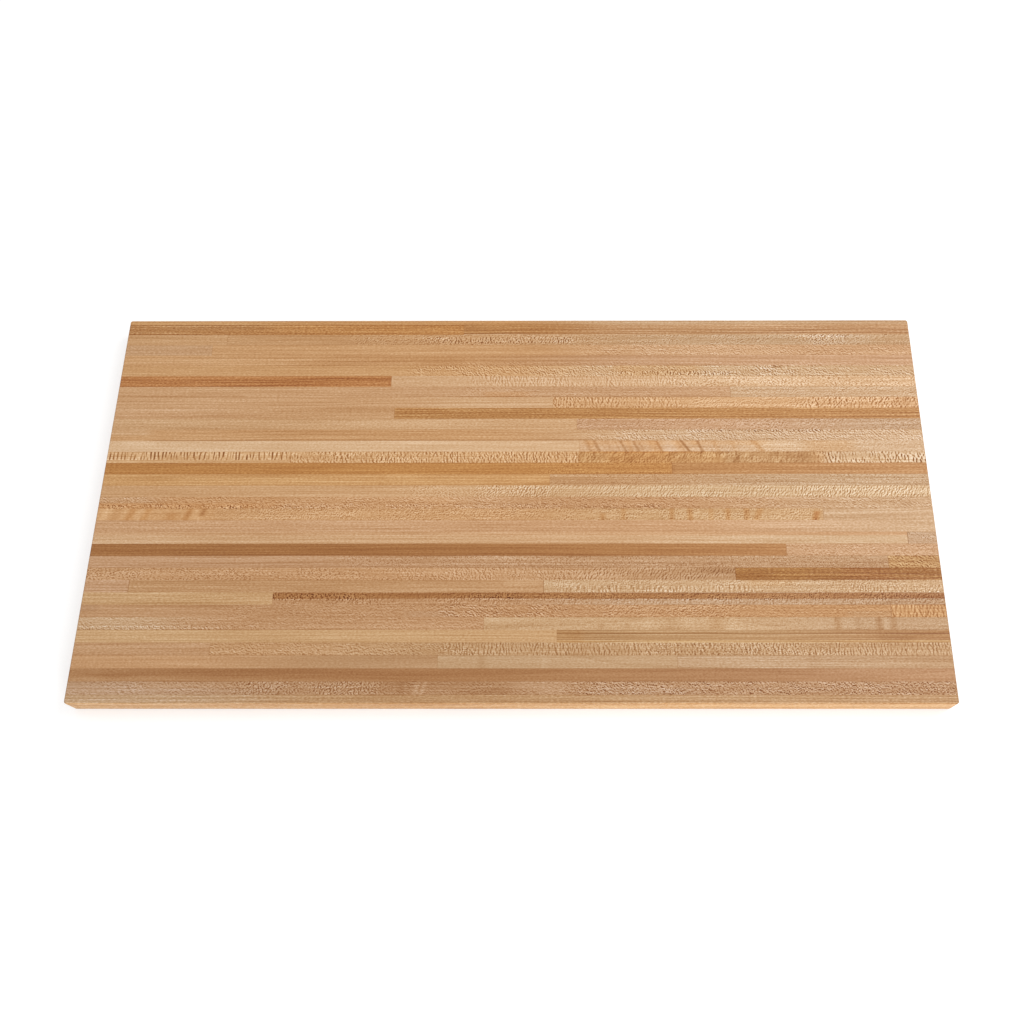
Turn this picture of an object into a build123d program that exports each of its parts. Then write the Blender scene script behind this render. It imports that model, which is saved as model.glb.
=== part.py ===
from build123d import *
import os

# A laminated maple butcher block top. Staves stand on edge in rows that run the whole length, and the
# staves of a row meet end to end in finger joints. The glued block is then trimmed and its edges eased.
# Origin: centre of the underside. +X runs along the staves, +Y to the back edge, +Z up. Millimetres.

# Overall size
top_length = 1524.0
top_thickness = 44.45

# Strips, laid side by side from the back edge to the front edge
back_strip_width = 10.5
strip_width = 23.0
front_strip_width = 15.5

# Eased edges: the arris all round both faces, and the four upright corners
edge_round = 3.2
corner_round = 4.8

# Finger joints: how far the fingers reach, their spacing through the thickness, and their blunt tips
finger_length = 16.0
finger_spacing = 6.35
finger_tip = 0.9

# Length on the face of the stave at a row's left end and right end, one entry for each full row from the
# back. The stave between them takes the rest of the row, and an empty entry is one full-length stave.
end_staves = [
    {"left": 656.0},
    {"left": 196.0},
    {"left": 169.0},
    {},
    {},
    {"left": 521.0},
    {"right": 356.0},
    {"right": 693.0},
    {"left": 531.0},
    {"right": 648.0},
    {},
    {"right": 643.0},
    {"right": 645.0},
    {"right": 472.0},
    {"right": 698.0},
    {},
    {},
    {"right": 201.0},
    {},
    {"right": 53.0},
    {"right": 273.0},
    {"right": 93.0},
    {"right": 367.0},
    {"left": 80.0, "right": 708.0},
    {"left": 338.0},
    {"right": 98.0},
    {"right": 812.0},
    {"right": 684.0},
    {"left": 238.0},
    {"left": 634.0, "right": 476.0},
    {},
    {},
]

# Sizes that follow from the ones above
top_depth = back_strip_width + len(end_staves) * strip_width + front_strip_width
left_x = -top_length / 2
right_x = top_length / 2
back_y = top_depth / 2
finger_count = max(1, round(top_thickness / finger_spacing))
finger_pitch = top_thickness / finger_count


def square_end(x):
    """A plain sawn stave end, as (x, z) points from the upper face down to the underside."""
    return [(x, top_thickness), (x, 0)]


def finger_end(x):
    """A finger joint whose line on both faces is at x, as points from the upper face down.

    The stave on the left ends at x on the faces, and the fingers of the stave on its right reach back
    into it by the finger length, one in each pitch."""
    root_x = x - finger_length
    points = [(x, top_thickness)]
    for finger in range(finger_count):
        pitch_top = top_thickness - finger * finger_pitch
        finger_middle = pitch_top - finger_pitch / 2
        pitch_bottom = pitch_top - finger_pitch
        points += [
            (x, pitch_top - finger_tip / 2),
            (root_x, finger_middle + finger_tip / 2),
            (root_x, finger_middle - finger_tip / 2),
            (x, pitch_bottom + finger_tip / 2),
        ]
    points.append((x, 0))
    return points


def row_ends(lengths):
    """The ends of a row's staves from left to right: sawn at the block's ends, fingers in between."""
    ends = [square_end(left_x)]
    if "left" in lengths:
        ends.append(finger_end(left_x + lengths["left"]))
    if "right" in lengths:
        ends.append(finger_end(right_x - lengths["right"]))
    ends.append(square_end(right_x))
    return ends


def build_stave(name, left_end, right_end, stave_back_y, width):
    """One stave: its side outline carried across the strip's width, then eased with the whole block."""
    with BuildPart() as stave:
        with BuildSketch(Plane.XZ.offset(-stave_back_y)):
            with BuildLine():
                Polyline(*right_end, *reversed(left_end), close=True)
            make_face()
        extrude(amount=width)
        add(eased_block.part, mode=Mode.INTERSECT)
    stave.part.label = name
    export_step(stave.part, f"parts/{name}.step")


def build_row(names, lengths, row_back_y, width):
    """All staves of one row, each between two neighbouring ends."""
    ends = row_ends(lengths)
    for name, left_end, right_end in zip(names, ends[:-1], ends[1:]):
        build_stave(name, left_end, right_end, row_back_y, width)


# Names of the staves in a row of one, two or three
stave_words = {1: ["full"], 2: ["left", "right"], 3: ["left", "middle", "right"]}

os.makedirs("parts", exist_ok=True)

# The outside of the trimmed and sanded block, which every stave is cut to
with BuildPart() as eased_block:
    with BuildSketch():
        RectangleRounded(top_length, top_depth, corner_round)
    extrude(amount=top_thickness)
    faces_up_and_down = eased_block.faces().filter_by(Axis.Z)
    fillet(faces_up_and_down.edges(), edge_round)

# Rows from the back edge to the front edge
build_row(["back_edge_strip"], {}, back_y, back_strip_width)

row_y = back_y - back_strip_width
for row_number, lengths in enumerate(end_staves, start=2):
    words = stave_words[1 + len(lengths)]
    names = [f"row_{row_number:02d}_{word}_stave" for word in words]
    build_row(names, lengths, row_y, strip_width)
    row_y -= strip_width

build_row(["front_edge_strip"], {}, row_y, front_strip_width)
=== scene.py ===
import math
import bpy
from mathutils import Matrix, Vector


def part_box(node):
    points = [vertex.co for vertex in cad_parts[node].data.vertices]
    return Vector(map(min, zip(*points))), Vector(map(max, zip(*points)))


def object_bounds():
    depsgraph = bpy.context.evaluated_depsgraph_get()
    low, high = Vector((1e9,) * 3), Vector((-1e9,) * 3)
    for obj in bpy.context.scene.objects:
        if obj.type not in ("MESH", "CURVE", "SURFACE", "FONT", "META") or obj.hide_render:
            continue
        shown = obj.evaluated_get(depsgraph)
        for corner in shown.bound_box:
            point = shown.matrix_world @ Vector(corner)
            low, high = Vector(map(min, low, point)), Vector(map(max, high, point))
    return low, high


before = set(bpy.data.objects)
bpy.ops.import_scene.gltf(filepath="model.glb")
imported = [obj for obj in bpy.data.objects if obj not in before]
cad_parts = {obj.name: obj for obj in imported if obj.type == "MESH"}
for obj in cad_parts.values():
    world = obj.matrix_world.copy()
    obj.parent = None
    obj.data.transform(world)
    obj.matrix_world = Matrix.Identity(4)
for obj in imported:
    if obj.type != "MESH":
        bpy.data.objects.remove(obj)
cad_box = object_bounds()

from types import SimpleNamespace

import bpy
from mathutils import Vector

MM = 0.001

# Length and thickness of the top in millimetres, from the frame
TOP_LENGTH, _, TOP_THICKNESS = [round((high - low) / MM, 2) for low, high in zip(*cad_box)]

# How far the fingers at the left end of a stave reach past the joint line
FINGER_LENGTH = 16.0

# A stave that ends nearer than this to an end of the top has no joint there
END_MARGIN = 1.0

# Tones of bare maple in plain light, as display values
TONES = {
    "cream": (218, 179, 139),
    "oat": (206, 169, 130),
    "pale": (208, 165, 123),
    "light_tan": (204, 158, 115),
    "sand": (205, 157, 108),
    "tan": (199, 152, 107),
    "blush": (197, 152, 112),
    "fawn": (193, 147, 104),
    "dove": (192, 154, 117),
    "dun": (184, 141, 99),
    "straw": (203, 161, 114),
    "honey": (206, 156, 102),
    "gold": (194, 143, 90),
    "amber": (189, 131, 72),
    "toffee": (183, 129, 76),
    "russet": (183, 121, 68),
    "brown": (167, 117, 72),
    "umber": (163, 108, 58),
}

# How fast red, green and blue sink as the wood gets denser and darker
ABSORPTION = (0.62, 1.0, 1.54)

# How fast they sink in a golden mark
GOLD_ABSORPTION = (0.0, 0.35, 1.0)

# How the stave was sawn: where the pith of its log lies, across from the stave's middle and up from mid
# thickness, in millimetres
CUTS = {"quarter": (120.0, 30.0), "rift": (90.0, -80.0), "flat": (25.0, -130.0)}
PLAIN_CUT = "quarter"

# Places past both ends of the top, and past the sides of any stave
LEFT = -200.0
RIGHT = 1800.0
SIDE = 99.0

# How softly the ends and the sides of marks fade
ZONE_FADE = 60.0
ZONE_EDGE = 1.5
BAR_EDGE = 2.0
LINE_FADE = 6.0


def zone(start, stop, depth, fade=ZONE_FADE, low=-SIDE, high=SIDE, gold=0.0):
    """A stretch of a stave that is darker than the rest, or lighter where the depth is below zero."""
    return dict(start=start, stop=stop, low=low, high=high, depth=depth, gold=gold, fade=fade,
                edge=ZONE_EDGE, slant=0.0)


def bar(middle, wide, depth, slant=0.0, low=-SIDE, high=SIDE, gold=0.0):
    """A bar of curly figure that crosses the stave at one place."""
    return dict(start=middle - wide / 2, stop=middle + wide / 2, low=low, high=high, depth=depth,
                gold=gold, fade=wide / 2, edge=BAR_EDGE, slant=slant)


def line(across, wide, depth, start=LEFT, stop=RIGHT, fade=LINE_FADE, gold=0.0):
    """A thin line of darker wood along the grain."""
    return dict(start=start, stop=stop, low=across - wide / 2, high=across + wide / 2, depth=depth,
                gold=gold, fade=fade, edge=wide / 2, slant=0.0)


# Spacing and length of strokes of ray figure
STROKE_GAP = 5.5
STROKE_LONG = 6.0
FINE_GAP = 4.6
FINE_LONG = 3.2


def strokes(depth, start=LEFT, stop=RIGHT, low=-SIDE, high=SIDE, gap=STROKE_GAP, long=STROKE_LONG,
            lean=0.0, order=0.9, sparse=0.0):
    """One layer of ray figure, in its own stretch of the stave.

    The strokes are spaced by the gap and run for about the long distance. They cross the stave at a lean of
    0 degrees and lie along it at 90. They are all parallel at an order of 1, and a net at 0. Sparse ones, up
    to 1, are lone dark specks.
    """
    return dict(depth=depth, start=start, stop=stop, low=low, high=high, gap=gap, long=long, lean=lean,
                order=order, sparse=sparse)


def fine_strokes(depth, long=FINE_LONG, **settings):
    """A layer of ray figure with short strokes close together."""
    return strokes(depth, gap=FINE_GAP, long=long, **settings)


def ray_inputs(layers):
    """The settings of ray layers under the names that the wood's inputs have."""
    return {f"{layer}_{key}": value for layer, settings in layers.items() for key, value in settings.items()}


# A stave can have three layers of ray figure. A plain one has a faint net alone.
PLAIN_RAYS = {"lace": strokes(0.12, order=0.4), "fleck": strokes(0.0), "dash": strokes(0.0)}

# What a stave's wood can set, with the value of a plain stave. Lengths are in millimetres. Places along the
# stave count from the top's left end, and places across it from the stave's middle towards the back. Deeper
# makes the whole stave darker, and yellow takes away blue alone. Marks and gold come from the stave's marks.
SETTINGS = {
    "seed": 0.0,
    "middle_y": 0.0,
    "half_width": 11.5,
    "joint_left": LEFT,
    "joint_right": RIGHT,
    "joint_depth": 0.35,
    "turn_from": 0.0,
    "turn_to": TOP_LENGTH,
    "band_low": SIDE,
    "band_high": 2 * SIDE,
    "pith_y": CUTS[PLAIN_CUT][0],
    "pith_z": CUTS[PLAIN_CUT][1],
    "ring_gap": 5.0,
    "ring_depth": 0.25,
    "fibre_depth": 0.17,
    "drift_depth": 0.06,
    "deeper": 0.0,
    "yellow": 0.0,
    "marks": 0.0,
    "gold": 0.0,
    **ray_inputs(PLAIN_RAYS),
}
TONE_SETTINGS = ("tone", "turn_tone", "band_tone")

# Looks of each stave, from the back edge to the front edge
LOOKS = {
    "back_edge_strip": dict(
        tone="honey", turn_tone="oat", turn_from=700, turn_to=1000, ring_depth=0.4,
        marks=[zone(250, 960, 0.14, 100), zone(760, 1000, 0.06), zone(960, 1300, 0.07),
               zone(1300, RIGHT, 0.23)]),
    "row_02_left_stave": dict(
        tone="toffee", turn_tone="amber", turn_to=500, ring_depth=0.8, fibre_depth=0.35, deeper=0.01,
        marks=[zone(440, 700, 0.03), zone(80, 280, 0.13, 30, low=0, gold=-0.1)]),
    "row_02_right_stave": dict(
        tone="toffee", turn_tone="fawn", turn_from=780, turn_to=1000, band_tone="pale", band_low=-SIDE,
        band_high=-10, ring_depth=1.0, fibre_depth=0.24, yellow=0.04,
        marks=[zone(600, 900, 0.06), zone(640, 690, 0.15, 12, low=2), line(-8.3, 2.2, 0.5, 670, 1000, 60),
               line(-8.3, 2, 0.3, 1000, RIGHT, 60), line(4, 3, -0.2, 725, 785, 25),
               zone(1240, RIGHT, 0.1)]),
    "row_03_left_stave": dict(tone="light_tan", cut="rift", deeper=0.02, yellow=0.08),
    "row_03_right_stave": dict(
        tone="tan", turn_tone="dove", turn_from=600, turn_to=1200, deeper=-0.01, yellow=0.05,
        lace=fine_strokes(0.91, start=440, lean=-65, order=0.6),
        fleck=strokes(1.7, start=585, stop=890, low=-8, high=6, long=4, order=0.8, sparse=0.8),
        dash=strokes(2.0, start=1320, stop=1400, long=3, order=0.5, sparse=0.7),
        marks=[zone(230, 720, 0.045, 80), zone(1260, RIGHT, -0.03),
               zone(1300, 1385, -0.16, 15, low=0, gold=0.1), zone(1450, RIGHT, 0.07, 15, gold=0.08)]),
    "row_04_left_stave": dict(tone="blush", cut="rift", deeper=-0.055, yellow=0.065),
    "row_04_right_stave": dict(
        tone="sand", turn_tone="pale", turn_from=750, turn_to=1050, deeper=0.01,
        lace=fine_strokes(0.9, start=880, lean=70, order=0.7),
        marks=[zone(1280, RIGHT, 0.15, 40), zone(720, 1250, 0.045), zone(925, 985, 0.12, 12, high=0)]),
    "row_05_full_stave": dict(
        tone="sand", turn_tone="blush", turn_from=600, turn_to=1000, ring_gap=9, ring_depth=0.5,
        fleck=fine_strokes(0.56, start=640, high=-4, lean=60),
        marks=[zone(300, 900, 0.14, 120), line(-7, 1.5, 0.2, 100, 480, 40),
               line(-10.5, 1.5, 0.2, 280, 420, 40), zone(480, 780, 0.04), zone(1020, 1260, 0.04),
               zone(1280, RIGHT, -0.05), zone(575, 660, 0.13, 15, high=0)]),
    "row_06_full_stave": dict(
        tone="sand", turn_tone="oat", turn_from=700, turn_to=1080, deeper=0.04, yellow=0.03,
        lace=fine_strokes(1.23, start=560, lean=55, order=0.8),
        fleck=strokes(1.87, start=945, stop=1180, low=-10, high=-1, long=5, sparse=0.5),
        dash=strokes(1.35, start=1200, stop=1300, long=4, lean=40, order=0.6, sparse=0.7),
        marks=[zone(1300, RIGHT, 0.08), bar(1256, 7, 0.8, low=7), bar(1266, 5, 0.8, low=7),
               zone(LEFT, 240, -0.05, 80), zone(950, 1110, 0.05, 15, gold=0.2)]),
    "row_07_left_stave": dict(
        tone="russet", cut="rift", ring_gap=9, ring_depth=0.6, fibre_depth=0.3, deeper=-0.045,
        yellow=0.04,
        marks=[line(-3, 2, 0.2, 150, 340, 50), line(2.5, 1.5, 0.2, 150, 300, 40)]),
    "row_07_right_stave": dict(
        tone="pale", turn_tone="cream", turn_from=850, turn_to=1200, deeper=-0.045, yellow=0.03,
        lace=strokes(0.7, start=680, stop=1090, lean=5, order=0.75),
        fleck=strokes(0.9, start=1050, long=5, order=0.2),
        marks=[zone(1300, RIGHT, 0.1)]),
    "row_08_left_stave": dict(
        tone="light_tan", turn_tone="blush", turn_from=250, turn_to=1000, deeper=-0.015, yellow=0.04,
        lace=fine_strokes(0.45, start=650, lean=80, order=0.6),
        marks=[line(-9.5, 2, 0.35, LEFT, 245), line(-10.3, 1.8, 0.3, 550, 1168, 30),
               line(9.5, 2, 0.12, 250, 800, 60), zone(700, 785, 0.08, 15, high=0, gold=0.15)]),
    "row_08_right_stave": dict(
        tone="oat", deeper=0.085, joint_depth=0.7,
        lace=fine_strokes(0.71, lean=-80, order=0.6)),
    "row_09_left_stave": dict(
        tone="light_tan", turn_tone="pale", turn_from=500, turn_to=700, cut="rift", ring_depth=0.35,
        fibre_depth=0.14, yellow=0.04),
    "row_09_right_stave": dict(
        tone="sand", deeper=-0.06,
        lace=fine_strokes(0.8, start=1060, stop=1340, lean=-68, order=0.7),
        fleck=strokes(1.1, stop=1070, gap=6, long=5, order=0.75, sparse=0.2),
        dash=strokes(1.4, start=1300, gap=6, lean=-18, order=0.6, sparse=0.2),
        marks=[zone(1070, 1290, -0.07), zone(1290, RIGHT, 0.02), zone(1320, RIGHT, 0.03),
               zone(1474, RIGHT, 0.15, 10)]),
    "row_10_left_stave": dict(
        tone="light_tan", turn_tone="tan", turn_to=500, cut="flat", ring_depth=0.12, deeper=-0.015,
        yellow=0.03,
        marks=[line(4, 1.5, 0.25, 300, 360, 20)]),
    "row_10_right_stave": dict(
        tone="toffee", ring_depth=0.7, fibre_depth=0.3, deeper=-0.05, yellow=0.07,
        marks=[line(-7.5, 4, 0.16), line(-2.5, 1.5, -0.15, 540, 700, 30),
               zone(525, 620, 0.15, 20, low=0, gold=0.08)]),
    "row_11_left_stave": dict(
        tone="pale", cut="flat", ring_depth=0.12, deeper=0.02, yellow=0.05,
        marks=[line(-8, 4, 0.1, 100, 350, 80), zone(292, 584, 0.03)]),
    "row_11_right_stave": dict(
        tone="blush", turn_tone="dove", turn_from=1100, turn_to=1500,
        lace=fine_strokes(0.78, lean=-75, order=0.6)),
    "row_12_full_stave": dict(
        tone="sand", turn_tone="oat", turn_from=650, turn_to=1150, ring_depth=0.4, deeper=0.03,
        lace=fine_strokes(1.11, start=900, lean=53, order=0.8),
        fleck=strokes(2.0, start=1000, stop=1400, low=7, gap=6, long=3, order=0.6, sparse=0.9),
        marks=[zone(260, 620, 0.06), line(-10.4, 1.6, 0.5, 80, 900, 20),
               line(2.5, 1.5, 0.2, 380, 850, 60), zone(1000, RIGHT, 0.03),
               zone(LEFT, 75, -0.12, 15, low=0, gold=-0.12)]),
    "row_13_left_stave": dict(
        tone="cream", cut="flat", ring_depth=0.12, fibre_depth=0.12, yellow=0.03,
        marks=[zone(LEFT, 290, -0.045), zone(590, 1000, 0.03), zone(25, 85, -0.13, 15, low=0)]),
    "row_13_right_stave": dict(
        tone="pale", turn_tone="oat", turn_from=1000, turn_to=1300, cut="flat", ring_depth=0.15,
        deeper=-0.045,
        fleck=strokes(0.25, stop=1000, gap=14, long=40, lean=23, order=1.0),
        dash=fine_strokes(0.39, start=1100, lean=-60, order=0.5),
        marks=[zone(890, 1180, 0.03, 20), zone(885, 1230, 0, 20, low=2, gold=0.16),
               zone(990, 1180, -0.08, 30, high=-1), zone(1190, 1295, -0.09, 30, gold=0.1),
               zone(1300, 1390, 0.05, 20, gold=0.2), bar(903, 12, 0.05, 0.5, gold=0.15),
               bar(913, 5, 0.2, 0.5), bar(962, 4, 0.3, 0.5), bar(973, 10, 0.05, 0.5, gold=0.15),
               bar(986, 5, 0.45, 0.5), bar(996, 4, 0.25, 0.5, low=-8, high=8),
               bar(1020, 14, 0.03, 0.5, gold=0.2), bar(1029, 5, 0.4, 0.5, gold=0.15),
               bar(1066, 16, 0.02, 0.7, gold=0.15), bar(1070, 3, 0.25, 0.7), bar(1078, 5, 0.85, 0.7),
               bar(1098, 10, 0.03, 0.45, low=2, gold=0.15), bar(1105, 5, 0.65, 0.45),
               zone(1038, 1060, -0.1, 8, gold=-0.1), bar(1135, 8, 0.08, 0.4, gold=0.12),
               bar(1168, 10, 0.06, 0.3, gold=0.12), bar(1213, 9, 0.25, 0.75, gold=0.2)]),
    "row_14_left_stave": dict(
        tone="sand", deeper=-0.07, yellow=0.03,
        lace=strokes(0.5, start=340, long=4, lean=20, order=0.4),
        fleck=strokes(1.7, stop=345, low=-5, gap=7, long=14, lean=1, order=0.97, sparse=0.55),
        dash=strokes(1.35, start=345, gap=6, lean=4, order=0.8, sparse=0.3),
        marks=[zone(600, 900, 0.04), zone(LEFT, 58, -0.11, 10, high=0)]),
    "row_14_right_stave": dict(
        tone="gold", turn_tone="oat", turn_from=1312, turn_to=1358, deeper=0.03, yellow=0.04,
        lace=strokes(0.8, stop=1300, long=5, lean=-28, order=0.7),
        fleck=strokes(0.5, stop=1290, gap=20, long=16, lean=-31, order=0.6),
        dash=strokes(1.9, start=1320, gap=6.5, lean=4, order=0.8, sparse=0.6),
        marks=[zone(1350, RIGHT, 0.05, 20, low=0), zone(1350, 1490, -0.06, 15, high=0, gold=0.06),
               zone(885, 912, -0.08, 10), zone(1104, 1156, -0.16, 10, high=2),
               zone(935, 1050, -0.07, 20, gold=0.2), line(10, 3, 0.05, 890, 1110, 20, gold=0.25),
               bar(966, 4, 0.2, -0.5), bar(973, 4, 0.35, -0.5), bar(981, 4, 0.3, -0.5),
               bar(1050, 6, 0.15, -0.3), zone(1148, 1320, 0.08, 12, gold=-0.2),
               zone(1258, 1310, 0.15, 10), bar(1188, 5, -0.2, -0.4, low=0),
               bar(1203, 8, -0.2, -0.3, high=2), bar(1250, 9, -0.3, -0.3, high=2),
               zone(1104, 1130, -0.12, 8, low=2)]),
    "row_15_left_stave": dict(
        tone="amber", ring_depth=0.2, fibre_depth=0.22, deeper=0.04, yellow=0.06, joint_depth=0.6,
        lace=fine_strokes(0.56, start=800, lean=60, order=0.4),
        marks=[zone(789, 1100, -0.06), zone(LEFT, 260, 0.04), zone(1035, 1060, -0.05, 5)]),
    "row_15_right_stave": dict(
        tone="toffee", ring_depth=0.2, fibre_depth=0.22, deeper=-0.02, joint_depth=0.6,
        marks=[bar(1055, 4, 0.12)]),
    "row_16_left_stave": dict(
        tone="honey", ring_depth=0.5, deeper=0.01, yellow=0.03,
        marks=[line(-8.5, 1.2, 0.45, 506, 532), line(-4, 2.5, -0.15, LEFT, 500, 60),
               line(8, 1.5, 0.2, 100, 320, 50), line(-1.5, 4, -0.2, 770, 826, 20),
               line(-8, 3, 0.25, 780, 826, 15), zone(700, 830, 0.12, 12, high=0),
               zone(525, 585, -0.13, 12, low=0)]),
    "row_16_right_stave": dict(
        tone="fawn", turn_tone="dove", turn_from=900, turn_to=1350, ring_depth=0.5, deeper=0.01,
        yellow=0.06,
        lace=fine_strokes(0.56, lean=75, order=0.4),
        marks=[zone(1175, 1285, 0.09, 20, high=0)]),
    "row_17_full_stave": dict(
        tone="light_tan", turn_tone="oat", turn_from=450, turn_to=1150, fibre_depth=0.15, deeper=-0.03,
        yellow=0.07,
        lace=fine_strokes(1.0, start=690, long=4.5, lean=-33, order=0.8),
        fleck=strokes(0.6, start=560, stop=830, long=4, order=0.3),
        dash=strokes(0.68, start=1260, high=7, gap=5, long=5, lean=-12, order=0.7),
        marks=[zone(520, 800, -0.02), zone(1000, 1260, -0.04)]),
    "row_18_full_stave": dict(
        tone="tan", turn_tone="oat", turn_from=1000, turn_to=1450, deeper=-0.01,
        lace=fine_strokes(0.81, lean=75, order=0.7),
        fleck=strokes(2.04, stop=280, high=-4, gap=6, long=3, lean=30, order=0.6, sparse=0.7),
        dash=fine_strokes(1.34, start=280, stop=1050, high=-2, long=2.1, lean=60, order=0.6, sparse=0.6),
        marks=[zone(780, 1250, 0.09), line(-10.8, 1.5, 0.15, 280, 1300, 60), zone(1250, RIGHT, 0.11),
               zone(LEFT, 320, -0.06, 40, high=-1, gold=0.3), zone(LEFT, 90, -0.08, 20, low=-1),
               zone(110, 330, 0, 30, low=-1, gold=0.17), zone(320, 660, -0.05, 30, gold=0.1),
               zone(1450, 1484, 0.16, 8, high=0)]),
    "row_19_left_stave": dict(
        tone="sand", turn_tone="straw", turn_from=700, turn_to=1050, deeper=0.015,
        lace=fine_strokes(0.9, start=220, long=2.6, lean=-60, order=0.6),
        marks=[zone(250, 520, -0.05), zone(LEFT, 215, -0.07, 15, gold=0.1), zone(LEFT, 62, -0.07, 15),
               bar(17, 14, -0.15, -0.3), bar(35, 16, 0.2, -0.4), bar(62, 12, 0.22, -0.4, gold=0.15),
               bar(78, 16, -0.08, -0.4), bar(91, 10, 0.12, -0.4, gold=0.18),
               bar(138, 20, 0.2, -0.2, high=2, gold=0.1), bar(154, 12, -0.03, -0.3),
               bar(167, 9, 0.3, -0.4, gold=0.15), bar(181, 14, -0.12), bar(193, 8, 0.5, -0.3, low=-3),
               bar(922, 8, 0.25, low=-11, high=2, gold=0.2), bar(960, 9, 0.15, gold=0.2),
               bar(1048, 8, 0.25, gold=0.25), bar(1081, 9, 0.28, gold=0.3), bar(1119, 8, 0.06, gold=0.18),
               bar(1150, 8, 0.16, gold=0.3), bar(1184, 9, 0.28, gold=0.3),
               bar(1205, 10, 0.2, -0.4, gold=0.3), bar(1311, 10, 0.4, -0.3, high=6, gold=0.6),
               zone(760, 1040, 0.05), zone(1040, 1300, 0.02)]),
    "row_19_right_stave": dict(tone="oat", cut="rift", ring_depth=0.45, deeper=0.07, joint_depth=0.8),
    "row_20_full_stave": dict(
        tone="light_tan", turn_tone="oat", turn_from=1050, turn_to=1550, deeper=-0.01,
        marks=[zone(700, 1250, 0.04), line(-6, 1.5, 0.22, 60, 560, 50),
               line(-8.5, 1.5, 0.25, 640, 1150, 50), line(-10, 1, 0.25, 100, 350, 50),
               zone(254, 508, 0.04)]),
    "row_21_left_stave": dict(
        tone="pale", turn_tone="oat", turn_from=800, turn_to=1400, band_tone="light_tan", band_low=5.0,
        fibre_depth=0.15, deeper=-0.02, yellow=0.03, joint_depth=1.0,
        marks=[zone(LEFT, 200, -0.04), zone(1220, 1500, 0.06), line(-10.3, 2, 0.25, 300, 1000, 60),
               line(-6, 1, 0.25, 740, 800, 15), line(8, 1.2, 0.2, 540, 640, 30)]),
    "row_21_right_stave": dict(
        tone="dove", deeper=0.02, joint_depth=1.0,
        lace=fine_strokes(0.81, lean=60, order=0.4)),
    "row_22_left_stave": dict(
        tone="umber", turn_tone="toffee", turn_from=500, turn_to=1500, ring_depth=0.45,
        marks=[line(-10, 2, 0.15, 250, 1251, 60)]),
    "row_22_right_stave": dict(
        tone="fawn", deeper=-0.08,
        lace=fine_strokes(0.67, lean=80, order=0.6)),
    "row_23_left_stave": dict(
        tone="blush", turn_tone="dun", turn_to=1600, cut="rift", ring_depth=0.4,
        lace=fine_strokes(0.67, start=450, lean=75, order=0.4),
        marks=[zone(260, 700, 0.05), line(-8, 1.5, 0.25, 330, 1150, 80),
               line(-3.5, 1.5, 0.3, 375, 400, 10), line(-5, 3, 0.25, 1225, 1250, 10)]),
    "row_23_right_stave": dict(
        tone="fawn", deeper=0.22, yellow=0.25,
        lace=fine_strokes(1.52, lean=65, order=0.7)),
    "row_24_left_stave": dict(
        tone="tan", turn_tone="dun", turn_from=500, turn_to=1300, deeper=0.01,
        lace=strokes(0.9, start=560, stop=880, gap=5, long=4, lean=25, order=0.6),
        fleck=strokes(0.9, stop=560, long=4, order=0.2, sparse=0.3),
        dash=strokes(1.1, start=870, gap=5, long=5, lean=-25, order=0.8, sparse=0.3),
        marks=[zone(560, 900, -0.04), zone(1095, 1157, 0.24, 15, low=0),
               zone(875, 960, -0.13, 15, high=0)]),
    "row_24_right_stave": dict(
        tone="umber", ring_depth=0.7, fibre_depth=0.35, deeper=0.07, yellow=0.3,
        marks=[line(-9, 4, 0.15, 1157, RIGHT, 60), zone(1225, 1285, -0.14, 15),
               zone(1350, 1432, 0.1, 15, gold=0.15)]),
    "row_25_left_stave": dict(tone="blush", deeper=-0.08, joint_depth=0.7),
    "row_25_middle_stave": dict(
        tone="fawn", ring_depth=0.45, deeper=-0.015, yellow=0.05, joint_depth=0.7,
        marks=[zone(80, 560, 0.04), line(1, 1.5, 0.22, 160, 480, 60), line(-6, 1.5, -0.15, 600, 816, 30),
               zone(750, 812, -0.17, 10, low=0), zone(375, 460, 0.11, 15, high=0)]),
    "row_25_right_stave": dict(
        tone="oat", deeper=0.07, yellow=0.04, joint_depth=1.0,
        lace=strokes(0.85, start=850, stop=1190, high=1, gap=7, long=10, order=0.92),
        fleck=fine_strokes(0.86, start=820, long=2.1, lean=-50, order=0.5),
        dash=strokes(0.72, start=1340, high=2, order=0.8),
        marks=[zone(1300, RIGHT, 0.05), zone(1175, 1260, 0.09, 15, low=0, gold=0.12)]),
    "row_26_left_stave": dict(
        tone="straw", ring_depth=0.4,
        marks=[line(-0.5, 1.2, 0.4, 252, 268), line(-8.5, 2, 0.25, 60, 320, 60),
               line(8.5, 2, -0.2, LEFT, 200, 60)]),
    "row_26_right_stave": dict(
        tone="fawn", turn_tone="dove", turn_from=650, turn_to=1050, band_tone="umber", band_low=-0.5,
        band_high=10.5, deeper=0.02,
        lace=strokes(0.8, long=4, lean=-40, order=0.5),
        fleck=fine_strokes(2.02, start=660, low=-3, high=9, long=2.1, lean=-55, order=0.5, sparse=0.7),
        dash=strokes(2.2, stop=500, low=-3, high=9, long=4, lean=20, order=0.6, sparse=0.7),
        marks=[zone(570, 800, 0.08), zone(1300, RIGHT, 0.09), bar(488, 2, 0.4, high=0),
               zone(700, 780, 0.1, 15, low=0), zone(1100, 1410, -0.13, 20, low=0),
               zone(1400, RIGHT, 0.16, 20, high=0)]),
    "row_27_left_stave": dict(
        tone="fawn", turn_tone="gold", turn_from=500, turn_to=1800, joint_depth=0.8,
        lace=fine_strokes(0.56, start=250, lean=80, order=0.7),
        fleck=fine_strokes(1.23, start=630, stop=860, lean=68, order=0.8),
        dash=fine_strokes(0.9, start=900, stop=1200, lean=-72, order=0.7),
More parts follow.
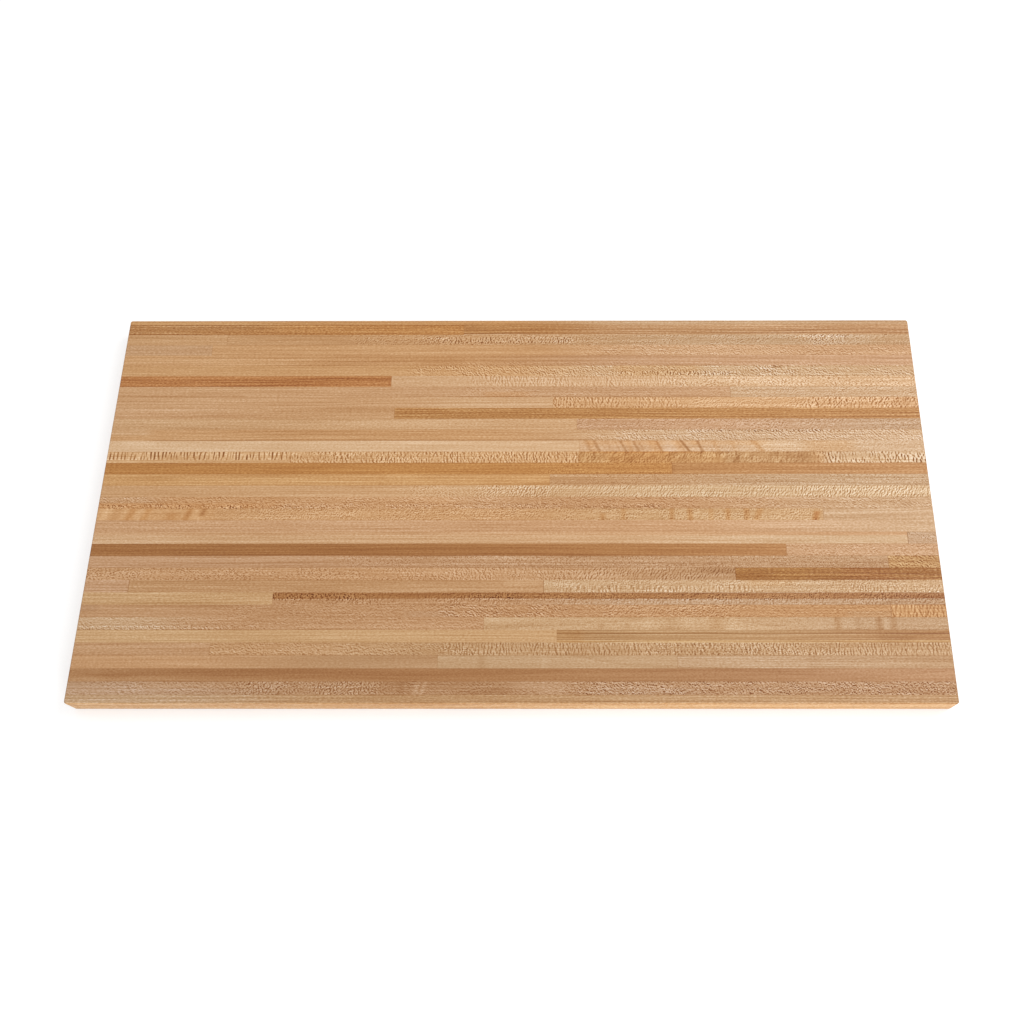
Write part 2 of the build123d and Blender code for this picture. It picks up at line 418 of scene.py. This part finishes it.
        marks=[zone(250, RIGHT, 0.08, 100), line(8.5, 4, 0.14, 60, 260, 60),
               zone(575, 660, -0.06, 15, high=0, gold=-0.1),
               zone(1350, 1430, -0.03, 15, high=0, gold=-0.18),
               zone(LEFT, 32, 0.14, 10, low=0, gold=-0.1)]),
    "row_27_right_stave": dict(
        tone="gold", joint_depth=0.9,
        lace=strokes(0.9, gap=6.5, order=0.8),
        marks=[zone(1474, RIGHT, 0.14, 8, low=0)]),
    "row_28_left_stave": dict(
        tone="oat", turn_tone="fawn", turn_from=80, turn_to=260, deeper=0.04,
        lace=fine_strokes(0.56, lean=75, order=0.7),
        fleck=fine_strokes(0.78, stop=330, high=-4, long=2.1, lean=48, order=0.8),
        marks=[line(-10.5, 1.5, 0.25, LEFT, 500, 60), zone(200, 285, -0.12, 15, low=0)]),
    "row_28_right_stave": dict(
        tone="oat", turn_tone="dove", turn_from=1100, turn_to=1450, cut="flat", ring_depth=0.15,
        fibre_depth=0.16, deeper=0.12, yellow=0.04,
        lace=fine_strokes(0.34, lean=-60, order=0.4),
        marks=[line(-8.5, 2, 0.3, 712, 770, 15), bar(918, 8, 0.25, low=-9, high=0),
               bar(963, 8, 0.25, low=-9, high=0), bar(1000, 16, -0.1), bar(1040, 20, 0.1),
               bar(1070, 16, -0.1), bar(1118, 22, 0.15, gold=0.05), bar(1150, 20, -0.08),
               bar(1330, 11, 0.25, gold=0.1), bar(1366, 10, 0.15), bar(1403, 10, 0.28, gold=0.1),
               bar(1414, 7, -0.15), bar(1427, 8, 0.22, gold=0.1), line(-4, 1.2, 0.4, 1210, 1240, 8),
               line(-6, 1.2, 0.4, 1255, 1275, 8), zone(1100, RIGHT, -0.05)]),
    "row_29_left_stave": dict(
        tone="straw", ring_depth=0.5, fibre_depth=0.13,
        marks=[zone(LEFT, 230, -0.07), zone(600, 840, 0.03), line(9, 3, -0.12), zone(280, 600, 0.03)]),
    "row_29_right_stave": dict(
        tone="dun", turn_tone="brown", turn_from=1150, turn_to=1480, band_tone="straw", band_low=-SIDE,
        band_high=-7.5, ring_depth=1.2, fibre_depth=0.13, deeper=-0.09, yellow=0.09,
        marks=[line(9.5, 4, 0.2, 840, 960, 30), line(2, 9, 0.2, 840, 980, 40),
               line(5, 2, 0.25, 850, 1500, 60), line(0.5, 1.5, 0.3, 900, 1500, 60),
               line(-4, 1.5, 0.3, 860, 1300, 60), line(-9, 5, 0.18, 1250, RIGHT, 60),
               zone(835, 885, 0.07, 8, gold=0.12), zone(1400, 1460, 0.17, 12, high=0)]),
    "row_30_left_stave": dict(tone="fawn", ring_depth=0.3, deeper=-0.05, joint_depth=0.45),
    "row_30_right_stave": dict(
        tone="fawn", turn_tone="dun", turn_from=300, turn_to=700, deeper=-0.05, yellow=0.05,
        lace=fine_strokes(0.78, stop=700, lean=70, order=0.7),
        fleck=strokes(1.0, start=640, lean=3, order=0.8, sparse=0.2),
        dash=strokes(1.0, start=1000, stop=1340, long=3, order=0.2, sparse=0.4),
        marks=[line(-10.5, 1.5, 0.3, 238, 700, 40), zone(480, 950, -0.05), zone(950, RIGHT, -0.06)]),
    "row_31_left_stave": dict(
        tone="tan", turn_tone="dun", turn_from=150, turn_to=500, cut="flat", ring_depth=0.12,
        fibre_depth=0.13),
    "row_31_middle_stave": dict(
        tone="dove", cut="flat", ring_depth=0.15, fibre_depth=0.13, yellow=0.06,
        marks=[bar(711, 12, 0.15), bar(818, 12, -0.08)]),
    "row_31_right_stave": dict(
        tone="dove", turn_tone="dun", turn_from=1200, turn_to=1700, ring_depth=0.4, deeper=0.01,
        yellow=0.03,
        marks=[bar(1285, 18, 0.12), bar(1222, 3, 0.25, low=-7, high=-1),
               line(-4, 1.2, 0.2, 1060, 1300, 60)]),
    "row_32_full_stave": dict(
        tone="brown", turn_tone="blush", turn_from=700, turn_to=2000, cut="flat", ring_depth=0.15,
        fibre_depth=0.14, deeper=-0.03,
        marks=[zone(LEFT, 200, -0.12), line(4, 10, 0.1, 50, 560, 100), line(-9, 5, -0.1, LEFT, 500, 100),
               zone(1050, RIGHT, 0.09, 100), zone(LEFT, 58, -0.12, 15)]),
    "row_33_full_stave": dict(
        tone="dove", turn_tone="dun", turn_from=150, turn_to=450, deeper=0.03, yellow=-0.05,
        lace=fine_strokes(0.67, lean=80, order=0.7),
        fleck=strokes(1.13, start=290, stop=545, long=4, lean=-20, order=0.5, sparse=0.3),
        dash=fine_strokes(1.59, start=870, long=2.6, lean=70, order=0.65, sparse=0.5),
        marks=[zone(535, 760, 0.16, 30), bar(600, 7, -0.3, -0.3), bar(612, 6, -0.3, -0.3),
               bar(573, 8, 0.15), zone(770, 860, -0.12, 30), zone(1000, RIGHT, 0.04),
               zone(125, 335, 0.07, 20, low=0, gold=0.1), zone(675, 810, 0.16, 15, high=0),
               zone(900, 1085, -0.07, 15, high=0, gold=-0.09)]),
    "front_edge_strip": dict(
        tone="dove", turn_tone="dun", turn_from=200, turn_to=450, band_tone="honey", band_low=-SIDE,
        band_high=-7.0, ring_depth=0.5, fibre_depth=0.22, deeper=-0.06, yellow=0.04,
        marks=[zone(LEFT, 230, -0.08), zone(500, 760, 0.08), zone(1000, RIGHT, 0.02),
               line(-3.5, 4, 0.1, 250, RIGHT, 60), zone(LEFT, 900, 0.13, 80, high=-6.8),
               zone(1430, RIGHT, 0.06, 30, high=-6.8), zone(760, 1010, -0.04)]),
}


def linear(display):
    """Display values from 0 to 255 as the linear colour that a shader takes, by the sRGB curve."""
    shares = [value / 255 for value in display]
    return [s / 12.92 if s <= 0.04045 else ((s + 0.055) / 1.055) ** 2.4 for s in shares] + [1.0]


# How many strokes of ray figure hang together before they change
RAY_WAVES = 1.1

# The mean of Blender's noise
NOISE_MEAN = 0.5

# The sockets of Blender's mix node that are for colours
MIX_SHARE = 0
MIX_A = 6
MIX_B = 7
MIX_RESULT = 2


class Graph:
    """Short names for adding nodes to a tree."""

    def __init__(self, tree):
        self.tree = tree

    def node(self, kind, inputs=(), **settings):
        made = self.tree.nodes.new(kind)
        for name, value in settings.items():
            setattr(made, name, value)
        for key, value in dict(inputs).items():
            self.put(made.inputs[key], value)
        return made

    def put(self, socket, value):
        if isinstance(value, bpy.types.NodeSocket):
            self.tree.links.new(value, socket)
        else:
            socket.default_value = value

    def math(self, operation, *values):
        return self.node("ShaderNodeMath", enumerate(values), operation=operation).outputs[0]

    def add(self, *values):
        total = values[0]
        for value in values[1:]:
            total = self.math("ADD", total, value)
        return total

    def times(self, *values):
        product = values[0]
        for value in values[1:]:
            product = self.math("MULTIPLY", product, value)
        return product

    def less(self, a, b):
        return self.math("SUBTRACT", a, b)

    def per(self, value, length):
        """How many times the length, which is a plain number, goes into the value."""
        return self.times(value, 1 / length)

    def noise(self, x, y, z, detail=2.0, roughness=0.5):
        """Noise about zero, mostly within a quarter either way, with one swell per unit."""
        place = self.node("ShaderNodeCombineXYZ", {"X": x, "Y": y, "Z": z}).outputs[0]
        made = self.node("ShaderNodeTexNoise", {
            "Vector": place, "Scale": 1.0, "Detail": detail, "Roughness": roughness})
        return self.add(made.outputs["Fac"], -NOISE_MEAN)

    def gabor(self, x, y, order):
        """Even waves along x, one per unit, that come and go at random, mostly between 0.25 and 0.75."""
        place = self.node("ShaderNodeCombineXYZ", {"X": x, "Y": y}).outputs[0]
        made = self.node("ShaderNodeTexGabor", {
            "Vector": place, "Scale": 1 / RAY_WAVES, "Frequency": RAY_WAVES, "Anisotropy": order,
            "Orientation 2D": 0.0}, gabor_type="2D")
        return made.outputs["Value"]

    def ramp(self, value, low, high):
        """0 at low, 1 at high, smooth in between and flat outside."""
        made = self.node("ShaderNodeMapRange", {
            "Value": value, "From Min": low, "From Max": high}, interpolation_type="SMOOTHSTEP")
        return made.outputs["Result"]

    def between(self, value, low, high, fade):
        """1 between low and high, and fading to 0 outside."""
        rise = self.ramp(value, self.add(low, -fade), self.add(low, fade))
        fall = self.ramp(value, self.add(high, fade), self.add(high, -fade))
        return self.times(rise, fall)

    def mix(self, share, a, b, blend="MIX"):
        made = self.node("ShaderNodeMix", data_type="RGBA", blend_type=blend)
        self.put(made.inputs[MIX_SHARE], share)
        self.put(made.inputs[MIX_A], a)
        self.put(made.inputs[MIX_B], b)
        return made.outputs[MIX_RESULT]


# How far two staves are apart in the noise, and the radius at which arcs round the pith are measured
SEED_SHIFT = 37.7
ARC_RADIUS = 120.0


def stave_axes(g, middle_y):
    """Millimetres along from the top's left end, across from the stave's middle and up from mid height."""
    point = g.node("ShaderNodeTexCoord").outputs["Object"]
    axes = g.node("ShaderNodeSeparateXYZ", {0: point}).outputs
    return SimpleNamespace(
        along=g.add(g.per(axes["X"], MM), TOP_LENGTH / 2),
        across=g.per(g.less(axes["Y"], middle_y), MM),
        up=g.add(g.per(axes["Z"], MM), -TOP_THICKNESS / 2))


def stave_place(g, given):
    """Where a point lies in its stave, in millimetres, and round the pith of its log."""
    at = stave_axes(g, given["middle_y"])
    pith_across = g.less(at.across, given["pith_y"])
    pith_up = g.less(at.up, given["pith_z"])
    at.radius = g.math("SQRT", g.add(g.times(pith_across, pith_across), g.times(pith_up, pith_up)))
    at.arc = g.times(g.math("ARCTAN2", pith_up, pith_across), ARC_RADIUS)
    at.shift = g.times(given["seed"], SEED_SHIFT)
    return at


# Growth rings: how far they wander, how uneven the years are and how the rings fade, each with the lengths
# in millimetres along the stave and out from the pith over which it changes. A higher power of the year
# makes the dark late wood thinner.
RING_WANDER = 16.0
RING_WANDER_ALONG = 480.0
RING_WANDER_OUT = 60.0
YEAR_UNEVEN = 2.4
YEAR_UNEVEN_OUT = 9.0
LATE_WOOD_POWER = 3.0
RING_STRENGTH = 0.8
RING_FADE = 2.5
RING_FADE_ALONG = 170.0
RING_FADE_OUT = 4.0


def growth_rings(g, given, at):
    """Dark late wood of each year, as thin lines that wander and fade along the stave."""
    wander = g.noise(g.per(at.along, RING_WANDER_ALONG), at.shift, g.per(at.radius, RING_WANDER_OUT))
    place = g.add(at.radius, g.times(wander, RING_WANDER))
    uneven = g.noise(g.per(place, YEAR_UNEVEN_OUT), at.shift, 0.0, detail=1.0)
    years = g.add(g.math("DIVIDE", place, given["ring_gap"]), g.times(uneven, YEAR_UNEVEN))
    dark = g.math("POWER", g.math("FRACT", years), LATE_WOOD_POWER)
    mean = 1 / (LATE_WOOD_POWER + 1)
    late = g.less(dark, mean)
    fade = g.noise(g.per(at.along, RING_FADE_ALONG), at.shift, g.per(place, RING_FADE_OUT))
    strength = g.add(RING_STRENGTH, g.times(fade, RING_FADE))
    return SimpleNamespace(late=late, density=g.times(late, strength, given["ring_depth"]))


# Fibres: fine and broad streaks, and specks as fine as the pores, with their lengths in millimetres
FIBRES = {
    "fine": {"long": 70.0, "wide": 0.8, "strength": 3.5, "detail": 2.0, "roughness": 0.6},
    "broad": {"long": 260.0, "wide": 3.0, "strength": 5.0, "detail": 3.0, "roughness": 0.6},
    "specks": {"long": 5.0, "wide": 1.7, "strength": 6.0, "detail": 1.0, "roughness": 0.5},
}


def fibres(g, given, at):
    """Long streaks of the fibres and fine specks."""
    layers = []
    for size in FIBRES.values():
        across = g.add(g.per(at.across, size["wide"]), at.shift)
        streaks = g.noise(g.per(at.along, size["long"]), across, g.per(at.up, size["wide"]),
                          detail=size["detail"], roughness=size["roughness"])
        layers.append(g.times(streaks, size["strength"]))
    return g.times(g.add(*layers), given["fibre_depth"])


# Ray figure: how far two layers are apart in the noise, how the strokes swing to the side and ripple, with
# the lengths in millimetres over which they do, and how far they lean over per millimetre of height
RAY_LAYER_SHIFT = 5.3
RAY_SWING = 1.6
RAY_SWING_ALONG = 110.0
RAY_RIPPLE = 9.0
RAY_RIPPLE_ALONG = 9.0
RAY_RIPPLE_ACROSS = 2.2
RAY_SLOPE = 0.9

# The heights of the waves at which a stroke starts and is darkest, and how dark strokes are on average, each
# with the change for sparse ones
STROKE_START = 0.42
STROKE_START_SPARSE = 0.1
STROKE_FULL = 0.68
STROKE_MEAN = 0.313
STROKE_MEAN_SPARSE = -0.19

# The patches in which ray figure comes and goes, and how softly its stretch ends, in millimetres
RAY_PATCH_ALONG = 40.0
RAY_PATCH_ACROSS = 12.0
RAY_PATCH_RANGE = (-0.35, 0.15)
RAY_FADE_ALONG = 30.0
RAY_FADE_ACROSS = 1.5


def ray_figure(g, given, at, layer, layer_shift):
    """Ray figure: thin strokes across the grain, evenly spaced, uneven in strength, that fade in patches."""
    own = {key: given[f"{layer}_{key}"] for key in PLAIN_RAYS[layer]}
    shift = g.add(at.shift, layer_shift)
    unruly = g.less(1.0, own["order"])
    bend = g.noise(g.per(at.along, RAY_SWING_ALONG), shift, 0.0, detail=1.0)
    swing = g.times(bend, unruly, RAY_SWING)
    ripple = g.noise(g.per(at.along, RAY_RIPPLE_ALONG), g.per(at.across, RAY_RIPPLE_ACROSS), shift,
                     detail=0.0)
    wobble = g.times(ripple, unruly, RAY_RIPPLE)
    angle = g.times(own["lean"], math.radians(1.0))
    cosine = g.math("COSINE", angle)
    sine = g.math("SINE", angle)
    side = g.add(at.across, g.times(at.up, RAY_SLOPE))
    step = g.add(g.times(at.along, cosine), g.times(side, g.add(sine, swing)), wobble)
    lane = g.less(g.times(side, cosine), g.times(at.along, sine))
    waves = g.gabor(g.math("DIVIDE", step, own["gap"]), g.add(g.math("DIVIDE", lane, own["long"]), shift),
                    own["order"])
    start = g.add(STROKE_START, g.times(own["sparse"], STROKE_START_SPARSE))
    mean = g.add(STROKE_MEAN, g.times(own["sparse"], STROKE_MEAN_SPARSE))
    dark = g.less(g.ramp(waves, start, STROKE_FULL), mean)
    swell = g.noise(g.per(at.along, RAY_PATCH_ALONG), shift, g.per(at.across, RAY_PATCH_ACROSS), detail=1.0)
    patch = g.ramp(swell, *RAY_PATCH_RANGE)
    room = g.times(
        g.between(at.along, own["start"], own["stop"], RAY_FADE_ALONG),
        g.between(at.across, own["low"], own["high"], RAY_FADE_ACROSS))
    return g.times(dark, patch, room, own["depth"])


def place_marks(g, marks, middle_y):
    """The density and the gold of the marks of one stave, added up."""
    at = stave_axes(g, middle_y)
    density = 0.0
    gold = 0.0
    for mark in marks:
        lean = g.add(at.along, g.times(at.across, mark["slant"]))
        stretch = g.between(lean, mark["start"], mark["stop"], mark["fade"])
        width = g.between(at.across, mark["low"], mark["high"], mark["edge"])
        shape = g.times(stretch, width)
        density = g.add(density, g.times(shape, mark["depth"]))
        if mark["gold"]:
            gold = g.add(gold, g.times(shape, mark["gold"]))
    return density, gold


# Glue: where its lines end and where they are darkest, in millimetres from the side and from the end joint
GLUE_RANGE = (0.4, 0.1)
JOINT_RANGE = (0.7, 0.2)
GLUE_DEPTH = 0.3


def glue_lines(g, given, at, side_face):
    """Thin dark glue lines along the stave and at its end joints."""
    to_side = g.less(given["half_width"], g.math("ABSOLUTE", at.across))
    along_side = g.times(g.ramp(to_side, *GLUE_RANGE), g.less(1.0, side_face))
    to_left = g.math("ABSOLUTE", g.less(at.along, given["joint_left"]))
    to_right = g.math("ABSOLUTE", g.less(at.along, given["joint_right"]))
    at_end = g.ramp(g.math("MINIMUM", to_left, to_right), *JOINT_RANGE)
    return g.math("MAXIMUM", g.times(along_side, GLUE_DEPTH), g.times(at_end, given["joint_depth"]))


# End grain: how dark it is, its rays, pores and rings, with lengths in millimetres
END_DEPTH = 0.32
END_RAY_WIDE = 0.9
END_RAY_LONG = 16.0
END_RAY_DEPTH = 0.8
PORE_GAP = 0.4
PORE_RANGE = (0.08, 0.2)
PORE_DEPTH = 0.35
END_RING_DEPTH = 0.35


def end_grain_density(g, at, late):
    """Sawn ends drink more oil: darker, with rays, pores and clear rings."""
    rays = g.noise(g.per(at.arc, END_RAY_WIDE), g.add(g.per(at.radius, END_RAY_LONG), at.shift), 0.0)
    dots = g.noise(g.per(at.across, PORE_GAP), g.add(g.per(at.up, PORE_GAP), at.shift), 0.0, detail=1.0)
    pores = g.times(g.ramp(dots, *PORE_RANGE), PORE_DEPTH)
    return g.add(END_DEPTH, g.times(rays, END_RAY_DEPTH), pores, g.times(late, END_RING_DEPTH))


# How far a face has to look along the stave to show end grain, and to the side to show no glue line
END_FACE_RANGE = (0.2, 0.8)
SIDE_FACE_RANGE = (0.4, 0.6)

# Slow drift of the tone, with the lengths in millimetres over which it changes
DRIFT_ALONG = 260.0
DRIFT_ACROSS = 15.0
DRIFT_UP = 30.0
DRIFT_STRENGTH = 4.0

# How far the sides of a band of heartwood waver, and how softly they fade
BAND_WAVER = 3.0
BAND_FADE = 0.8

# Satin oil: its gloss and roughness, and what streaks, rays and end grain add to the roughness
GLOSS = 0.3
ROUGHNESS = 0.46
STREAK_ROUGHNESS = 0.35
RAY_ROUGHNESS = 0.2
END_ROUGHNESS = 0.15

# The relief of streaks, glue lines and rays, and how high it is in metres
STREAK_HEIGHT = -1.0
GLUE_HEIGHT = -1.0
RAY_HEIGHT = -0.1
RELIEF_STRENGTH = 0.25
RELIEF_HEIGHT = 0.0004


def make_wood_group():
    """The wood of one stave as a solid texture, so that its faces, edges and end grain belong together."""
    tree = bpy.data.node_groups.new("maple_stave", "ShaderNodeTree")
    for name in TONE_SETTINGS:
        tree.interface.new_socket(name, in_out="INPUT", socket_type="NodeSocketColor")
    for name in SETTINGS:
        tree.interface.new_socket(name, in_out="INPUT", socket_type="NodeSocketFloat")
    tree.interface.new_socket("Color", in_out="OUTPUT", socket_type="NodeSocketColor")
    tree.interface.new_socket("Roughness", in_out="OUTPUT", socket_type="NodeSocketFloat")
    tree.interface.new_socket("Height", in_out="OUTPUT", socket_type="NodeSocketFloat")
    g = Graph(tree)
    given = g.node("NodeGroupInput").outputs
    at = stave_place(g, given)

    # Which way the face looks: end grain faces look along the stave
    normal = g.node("ShaderNodeNewGeometry").outputs["Normal"]
    facing = g.node("ShaderNodeSeparateXYZ", {0: normal}).outputs
    end_grain = g.ramp(g.math("ABSOLUTE", facing["X"]), *END_FACE_RANGE)
    side_face = g.ramp(g.math("ABSOLUTE", facing["Y"]), *SIDE_FACE_RANGE)

    rings = growth_rings(g, given, at)
    streaks = fibres(g, given, at)
    slow = g.noise(g.per(at.along, DRIFT_ALONG), g.add(g.per(at.across, DRIFT_ACROSS), at.shift),
                   g.per(at.up, DRIFT_UP))
    drift = g.times(slow, given["drift_depth"], DRIFT_STRENGTH)
    rays = g.add(*[ray_figure(g, given, at, layer, index * RAY_LAYER_SHIFT)
                   for index, layer in enumerate(PLAIN_RAYS)])
    glue = glue_lines(g, given, at, side_face)
    face = g.add(given["deeper"], given["marks"], rings.density, streaks, drift, rays, glue)
    end = g.add(given["deeper"], end_grain_density(g, at, rings.late))
    density = g.add(g.times(face, g.less(1.0, end_grain)), g.times(end, end_grain))

    # Tone: it may turn to another along the stave, and the stave may hold a band of heartwood
    tone = g.mix(g.ramp(at.along, given["turn_from"], given["turn_to"]), given["tone"], given["turn_tone"])
    wavy = g.add(at.across, g.times(slow, BAND_WAVER))
    in_band = g.between(wavy, given["band_low"], given["band_high"], BAND_FADE)
    tone = g.mix(in_band, tone, given["band_tone"])
    red, green, blue = [g.add(g.times(density, share), g.times(given["gold"], gold_share))
                        for share, gold_share in zip(ABSORPTION, GOLD_ABSORPTION)]
    lost = {"Red": red, "Green": green, "Blue": g.add(blue, given["yellow"])}
    left = {channel: g.math("EXPONENT", g.times(amount, -1.0)) for channel, amount in lost.items()}
    shade = g.node("ShaderNodeCombineColor", left).outputs[0]

    out = g.node("NodeGroupOutput")
    g.put(out.inputs["Color"], g.mix(1.0, tone, shade, blend="MULTIPLY"))
    g.put(out.inputs["Roughness"], g.add(
        ROUGHNESS, g.times(streaks, STREAK_ROUGHNESS), g.times(rays, RAY_ROUGHNESS),
        g.times(end_grain, END_ROUGHNESS)))
    g.put(out.inputs["Height"], g.add(
        g.times(streaks, STREAK_HEIGHT), g.times(glue, GLUE_HEIGHT), g.times(rays, RAY_HEIGHT)))
    return tree


def make_stave_material(name, looks, wood_group):
    """The material of one stave: the shared wood with this stave's own settings."""
    material = bpy.data.materials.new(name + "_wood")
    material.use_nodes = True
    material.node_tree.nodes.clear()
    g = Graph(material.node_tree)
    wood = g.node("ShaderNodeGroup", node_tree=wood_group)
    density, gold = place_marks(g, looks.get("marks", []), looks["middle_y"])
    rays = {layer: looks.get(layer, plain) for layer, plain in PLAIN_RAYS.items()}
    values = {**SETTINGS, **looks, **ray_inputs(rays), "marks": density, "gold": gold}
    for setting in SETTINGS:
        g.put(wood.inputs[setting], values[setting])
    for setting in TONE_SETTINGS:
        wood.inputs[setting].default_value = linear(TONES[looks.get(setting, looks["tone"])])
    bump = g.node("ShaderNodeBump", {
        "Strength": RELIEF_STRENGTH, "Distance": RELIEF_HEIGHT, "Height": wood.outputs["Height"]})
    shader = g.node("ShaderNodeBsdfPrincipled", {
        "Base Color": wood.outputs["Color"], "Roughness": wood.outputs["Roughness"],
        "Specular IOR Level": GLOSS, "Normal": bump.outputs[0]})
    g.node("ShaderNodeOutputMaterial", {"Surface": shader.outputs[0]})
    return material


def dress_staves():
    """Gives every stave its wood."""
    wood_group = make_wood_group()
    for index, (name, looks) in enumerate(LOOKS.items()):
        low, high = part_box(name)

        # Every other stave has its pith on the other side
        side = 1.0 if index % 2 else -1.0
        pith_y, pith_z = CUTS[looks.get("cut", PLAIN_CUT)]
        placed = dict(looks, seed=float(index + 1), middle_y=(low.y + high.y) / 2,
                      half_width=(high.y - low.y) / 2 / MM, pith_y=side * pith_y, pith_z=pith_z)
        left_end = low.x / MM + TOP_LENGTH / 2
        right_end = high.x / MM + TOP_LENGTH / 2
        if left_end > END_MARGIN:
            placed["joint_left"] = left_end + FINGER_LENGTH
        if right_end < TOP_LENGTH - END_MARGIN:
            placed["joint_right"] = right_end
        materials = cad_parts[name].data.materials
        materials.clear()
        materials.append(make_stave_material(name, placed, wood_group))


# Camera, at the photograph's viewpoint: pixels of the photo, metres and degrees
IMAGE_SIDE = 1024
SENSOR = 36.0
FOCAL_PIXELS = 1016.7
AXIS_PIXEL = (566.25, 556.02)
CAMERA_PLACE = (0.101, -0.7515, 1.7491)
CAMERA_TURN = (20.529, 0.209, 0.055)


def make_camera():
    """The camera, with its optical axis off the middle of the picture as in the photo."""
    data = bpy.data.cameras.new("camera")
    data.sensor_width = SENSOR
    data.lens = SENSOR * FOCAL_PIXELS / IMAGE_SIDE
    data.shift_x = (IMAGE_SIDE / 2 - AXIS_PIXEL[0]) / IMAGE_SIDE
    data.shift_y = (AXIS_PIXEL[1] - IMAGE_SIDE / 2) / IMAGE_SIDE
    camera = bpy.data.objects.new("camera", data)
    camera.location = CAMERA_PLACE
    camera.rotation_euler = [math.radians(angle) for angle in CAMERA_TURN]
    bpy.context.scene.collection.objects.link(camera)
    bpy.context.scene.camera = camera


# Floor, lights and surroundings, in metres and watts
WHITE = (1.0, 1.0, 1.0, 1.0)
FLOOR_SIZE = 40.0
FLOOR_DROP = 0.0005
FLOOR_LIFT = 0.50
FLOOR_COLOUR = (0.7, 0.7, 0.7, 1.0)
FILL_STRENGTH = 0.695
LAMPS = {
    "key": {"place": (2.0, 0.9, 2.6), "size": 1.8, "power": 38.0},
    "front": {"place": (0.9, -2.6, 0.5), "size": 1.0, "power": 28.0},
}


def background_ray(g):
    """1 for the rays that show the surroundings, 0 for the ones that light the object."""
    path = g.node("ShaderNodeLightPath").outputs
    shows = g.math("MAXIMUM", path["Is Camera Ray"], path["Is Glossy Ray"])
    return g.math("MAXIMUM", shows, path["Is Transmission Ray"])


def make_floor_material():
    """A dull pale floor that is lifted to white where it is seen."""
    material = bpy.data.materials.new("floor_white")
    material.use_nodes = True
    g = Graph(material.node_tree)
    shader = material.node_tree.nodes["Principled BSDF"]
    shader.inputs["Base Color"].default_value = FLOOR_COLOUR
    shader.inputs["Roughness"].default_value = 1.0
    shader.inputs["Specular IOR Level"].default_value = 0.0
    shader.inputs["Emission Color"].default_value = WHITE
    g.put(shader.inputs["Emission Strength"], g.times(background_ray(g), FLOOR_LIFT))
    return material


def make_floor():
    """A wide floor just under the top."""
    bpy.ops.mesh.primitive_plane_add(size=FLOOR_SIZE, location=(0.0, 0.0, -FLOOR_DROP))
    floor = bpy.context.object
    floor.name = "floor"
    floor.data.materials.append(make_floor_material())


def make_surroundings():
    """White surroundings that light the object more softly than they look."""
    world = bpy.data.worlds.new("studio")
    world.use_nodes = True
    g = Graph(world.node_tree)
    background = world.node_tree.nodes["Background"]
    background.inputs["Color"].default_value = WHITE
    strength = g.add(FILL_STRENGTH, g.times(background_ray(g), 1.0 - FILL_STRENGTH))
    g.put(background.inputs["Strength"], strength)
    bpy.context.scene.world = world


def make_lamps():
    """Square lamps that look at the origin, under the middle of the top."""
    for name, lamp in LAMPS.items():
        data = bpy.data.lights.new(name, "AREA")
        data.size = lamp["size"]
        data.energy = lamp["power"]
        light = bpy.data.objects.new(name, data)
        light.location = lamp["place"]
        light.rotation_euler = (-Vector(lamp["place"])).to_track_quat("-Z", "Y").to_euler()
        bpy.context.scene.collection.objects.link(light)


dress_staves()
make_camera()
make_floor()
make_surroundings()
make_lamps()
bpy.context.scene.view_settings.view_transform = "Standard"
